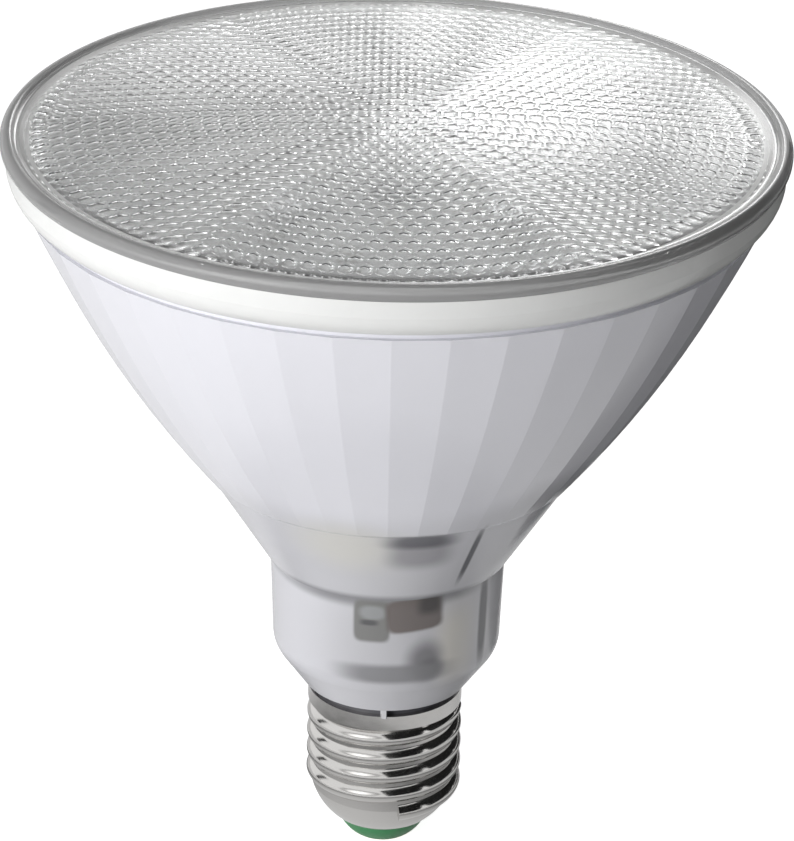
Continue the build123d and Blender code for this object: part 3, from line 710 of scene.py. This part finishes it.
@dataclass
class LightEngine:
    """The reflector, the board with its emitters, the pad, the screws and the heat spreader."""

    finishes: tuple[tuple[str, Moulded], ...] = (
        # The reflector and the board are set to a mid grey, which darkens what shows through the
        # glass.
        ("reflector", Moulded("reflector_satin", (0.36, 0.36, 0.36), 0.3, 0.01)),
        ("led_board", Moulded("board_white", (0.36, 0.36, 0.36), 0.4, 0.03)),
        ("led_emitters_white", Moulded("led_emitters_white_package", (0.46, 0.455, 0.44))),
        ("led_emitters_red", Moulded("led_emitters_red_package", (0.45, 0.44, 0.435))),
        ("led_emitters_blue", Moulded("led_emitters_blue_package", (0.435, 0.44, 0.45))),
        ("board_screws", Moulded("screw_steel", (0.62, 0.62, 0.63), metallic=1.0)),
        ("thermal_pad", Moulded("pad_grey", (0.55, 0.60, 0.66), 0.6)),
        ("heat_spreader", Moulded("spreader_aluminium", (0.80, 0.80, 0.81), 0.4, metallic=1.0)),
    )

    def build(self) -> None:
        """Dress the pieces behind the glass."""
        for node, finish in self.finishes:
            dress(node, finish.make())


@dataclass
class Driver:
    """The driver board, what stands on it and the leads."""

    finishes: tuple[tuple[str, Moulded], ...] = (
        ("driver_board", Moulded("board_green", (0.10, 0.26, 0.14), 0.4)),
        ("transformer_core", Moulded("ferrite", (0.06, 0.06, 0.065), 0.6)),
        ("transformer_winding", Moulded("winding_tape", (0.70, 0.55, 0.12), 0.35)),
        ("input_capacitor", Moulded("can_black", (0.04, 0.045, 0.08))),
        ("output_capacitor", Moulded("can_blue", (0.05, 0.06, 0.14))),
        ("film_capacitor", Moulded("film_brown", (0.36, 0.17, 0.07))),
        ("bridge_rectifier", Moulded("epoxy_bridge", (0.03, 0.03, 0.03), 0.5)),
        ("driver_chip", Moulded("epoxy_chip", (0.03, 0.03, 0.03), 0.5)),
        ("choke", Moulded("choke_ferrite", (0.07, 0.07, 0.075), 0.6)),
        ("fuse_resistor", Moulded("resistor_buff", (0.70, 0.65, 0.50), 0.4)),
        ("live_lead", Moulded("lead_red_live", (0.55, 0.05, 0.04), 0.4)),
        ("neutral_lead", Moulded("lead_white", (0.80, 0.80, 0.79), 0.4)),
        ("led_lead_positive", Moulded("lead_grey", (0.42, 0.42, 0.42), 0.4)),
        ("led_lead_negative", Moulded("lead_pale", (0.42, 0.42, 0.42), 0.4)),
    )

    def build(self) -> None:
        """Dress every piece of the driver."""
        for node, finish in self.finishes:
            dress(node, finish.make())


@dataclass(frozen=True)
class Card:
    """A flat card that only glass and gloss can see: a soft-edged glow, or black without power.

    Places are in metres; it stands at one point and faces another.
    """

    name: str
    place: Point
    aim: Point
    size: Size
    power: float = 0.0
    black: Colour = (0.01, 0.01, 0.01)
    fade: float = 0.6

    def turn(self) -> Quaternion:
        """Return the turn from lying flat that makes it face its aim."""
        return (Vector(self.aim) - Vector(self.place)).to_track_quat("Z", "Y")

    def glow(self) -> bpy.types.Material:
        """Make light that is brightest in the middle and clear at the rim.

        Returns:
            The material.
        """
        graph = Graph(self.name + "_light")
        spot = graph.add("ShaderNodeMapping", vector_type="TEXTURE")
        spot.inputs["Location"].default_value = self.place
        spot.inputs["Rotation"].default_value = self.turn().to_euler()
        spot.inputs["Scale"].default_value = (self.size[0] / 2, self.size[1] / 2, 1.0)
        graph.join(graph.place(), spot.inputs["Vector"])
        length = graph.add("ShaderNodeVectorMath", operation="LENGTH")
        graph.join(spot.outputs["Vector"], length.inputs[0])
        power = graph.ramp(length.outputs["Value"], 0.0, 1.0, self.power, 0.0, smooth=True)
        graph.set(Base_Color=(0.0, 0.0, 0.0), Specular_IOR_Level=0.0)
        graph.set(Emission_Color=(1.0, 1.0, 1.0))
        graph.join(power, graph.shader.inputs["Emission Strength"])
        clear = graph.add("ShaderNodeBsdfTransparent")
        share = graph.ramp(length.outputs["Value"], self.fade, 1.0, 1.0, 0.0, smooth=True)
        graph.join(graph.mix(share, clear.outputs["BSDF"], graph.shader.outputs["BSDF"]),
                   graph.output.inputs["Surface"])
        return graph.material

    def build(self) -> None:
        """Stand the card in the scene."""
        if self.power > 0.0:
            material = self.glow()
        else:
            material = Moulded(self.name + "_black", self.black, 0.9).make()
        turn = self.turn().to_matrix().to_4x4()
        scale = Matrix.Diagonal((*self.size, 1.0, 1.0))
        bm = bmesh.new()
        bmesh.ops.create_grid(bm, x_segments=1, y_segments=1, size=0.5,
                              matrix=Matrix.Translation(self.place) @ turn @ scale)
        piece = solid(bm, self.name, material)
        piece.visible_camera = False
        piece.visible_diffuse = False
        piece.visible_shadow = False


@dataclass
class Studio:
    """The white world, the floor, the soft lamp, the cards and the camera.

    The camera's place is in mm and its tilt and roll in degrees, as fitted to the photograph.
    """

    camera_place: Point = (1.061, -671.876, 397.338)
    down: float = 25.426
    roll: float = 1.272
    focal_px: float = 4505.63
    frame_px: float = 794.0
    sensor: float = 36.0
    world_level: float = 0.25
    floor_radius: float = 1.6
    floor_drop: float = 0.0005
    floor_white: Colour = (0.92, 0.92, 0.92)
    floor_seen: float = 0.85
    floor_gloss: float = 0.3
    key_place: Point = (-0.92, -0.95, 0.24)
    key_aim: Point = (0.0, 0.0, 0.07)
    key_size: Size = (0.8, 0.8)
    key_watts: float = 20.0
    cards: tuple[Card, ...] = (
        Card("softbox_back", (0.058, 0.80, 0.415), (0.03, 0.03, 0.13), (0.24, 0.38), 7.0),
        Card("softbox_right", (0.165, 0.80, 0.43), (0.03, 0.03, 0.13), (0.13, 0.28), 4.5),
        Card("softbox_streak", (0.012, 0.80, 0.30), (0.0, 0.03, 0.13), (0.07, 0.24), 3.0),
        Card("softbox_left", (-0.09, 0.80, 0.36), (0.0, 0.03, 0.13), (0.30, 0.26), 2.8),
        Card("softbox_cap", (-0.36, -0.48, 0.29), (0.0, 0.0, 0.02), (0.84, 0.54), 2.1),
        Card("bounce_under", (-0.01, -0.01, -0.0003), (-0.01, -0.01, 1.0), (0.13, 0.13), 0.70),
        Card("flag_front", (0.30, -0.52, 0.37), (0.0, 0.0, 0.02), (0.68, 0.78)),
        Card("flag_right", (0.60, 0.02, 0.37), (0.0, 0.0, 0.02), (0.72, 0.78)),
        Card("flag_back", (0.43, 0.44, 0.37), (0.0, 0.0, 0.02), (0.46, 0.78)),
        Card("flag_left", (-0.57, 0.19, 0.20), (0.0, 0.0, 0.02), (0.10, 0.30)),
        Card("flag_floor", (0.21, 0.38, 0.0004), (0.21, 0.38, 1.0), (0.32, 0.68)),
    )

    def world(self) -> None:
        """Make the world white to the eye, to metal and to glass, and a plain level to the rest."""
        world = bpy.data.worlds.new("studio_world")
        bpy.context.scene.world = world
        world.use_nodes = True
        tree = world.node_tree
        tree.nodes.clear()
        path = tree.nodes.new("ShaderNodeLightPath")
        seen = path.outputs["Is Camera Ray"]
        for ray in ("Is Glossy Ray", "Is Transmission Ray"):
            larger = tree.nodes.new("ShaderNodeMath")
            larger.operation = Calc.LARGER.value
            tree.links.new(seen, larger.inputs[0])
            tree.links.new(path.outputs[ray], larger.inputs[1])
            seen = larger.outputs[0]
        lit = tree.nodes.new("ShaderNodeBackground")
        lit.inputs["Strength"].default_value = self.world_level
        white = tree.nodes.new("ShaderNodeBackground")
        white.inputs["Color"].default_value = (1.0, 1.0, 1.0, 1.0)
        white.inputs["Strength"].default_value = 1.0
        mix = tree.nodes.new("ShaderNodeMixShader")
        tree.links.new(seen, mix.inputs["Fac"])
        tree.links.new(lit.outputs[0], mix.inputs[1])
        tree.links.new(white.outputs[0], mix.inputs[2])
        out = tree.nodes.new("ShaderNodeOutputWorld")
        tree.links.new(mix.outputs[0], out.inputs["Surface"])

    def floor(self) -> None:
        """Lay a pale round floor under the lamp."""
        graph = Graph("floor_white")
        graph.set(Base_Color=self.floor_white, Roughness=0.9, Specular_IOR_Level=0.0)
        graph.set(Emission_Color=(1.0, 1.0, 1.0))
        path = graph.add("ShaderNodeLightPath")
        seen = graph.calc(Calc.MULTIPLY, path.outputs["Is Camera Ray"], self.floor_seen)
        gloss = graph.calc(Calc.MULTIPLY, path.outputs["Is Glossy Ray"], self.floor_gloss)
        graph.join(graph.calc(Calc.LARGER, seen, gloss), graph.shader.inputs["Emission Strength"])
        bm = bmesh.new()
        bmesh.ops.create_circle(bm, cap_ends=True, segments=96, radius=self.floor_radius)
        piece = solid(bm, "floor", graph.material)
        piece.location = (0.0, 0.0, -self.floor_drop)

    def key_lamp(self) -> None:
        """Set the soft lamp at the left, which no gloss shows."""
        data = bpy.data.lights.new("key_left", "AREA")
        data.shape = "RECTANGLE"
        data.size, data.size_y = self.key_size
        data.energy = self.key_watts
        lamp = bpy.data.objects.new("key_left", data)
        lamp.location = self.key_place
        aim = Vector(self.key_aim) - Vector(self.key_place)
        lamp.rotation_euler = aim.to_track_quat("-Z", "Y").to_euler()
        lamp.visible_glossy = False
        bpy.context.scene.collection.objects.link(lamp)

    def camera(self) -> None:
        """Set the camera at the fitted place, tilt, roll and lens."""
        data = bpy.data.cameras.new("view_camera")
        data.sensor_fit = "HORIZONTAL"
        data.sensor_width = self.sensor
        data.lens = self.focal_px * data.sensor_width / self.frame_px
        data.clip_start, data.clip_end = 0.01, 20.0
        camera = bpy.data.objects.new("view_camera", data)
        tilt = Matrix.Rotation(math.radians(90.0 - self.down), 4, "X")
        roll = Matrix.Rotation(math.radians(self.roll), 4, "Z")
        camera.matrix_world = Matrix.Translation(Vector(self.camera_place) * MM) @ tilt @ roll
        bpy.context.scene.collection.objects.link(camera)
        bpy.context.scene.camera = camera

    def build(self) -> None:
        """Set up everything round the lamp."""
        self.world()
        self.floor()
        self.key_lamp()
        for card in self.cards:
            card.build()
        self.camera()
        bpy.context.scene.view_settings.view_transform = "Standard"


def main() -> None:
    """Build every sub-assembly in order."""
    logging.basicConfig(level=logging.INFO, format="%(name)s: %(message)s")
    for part in (LensCover(), Housing(), ScrewCap(), LightEngine(), Driver(), Studio()):
        LOG.info("building %s", type(part).__name__)
        part.build()


if __name__ == "__main__":
    main()
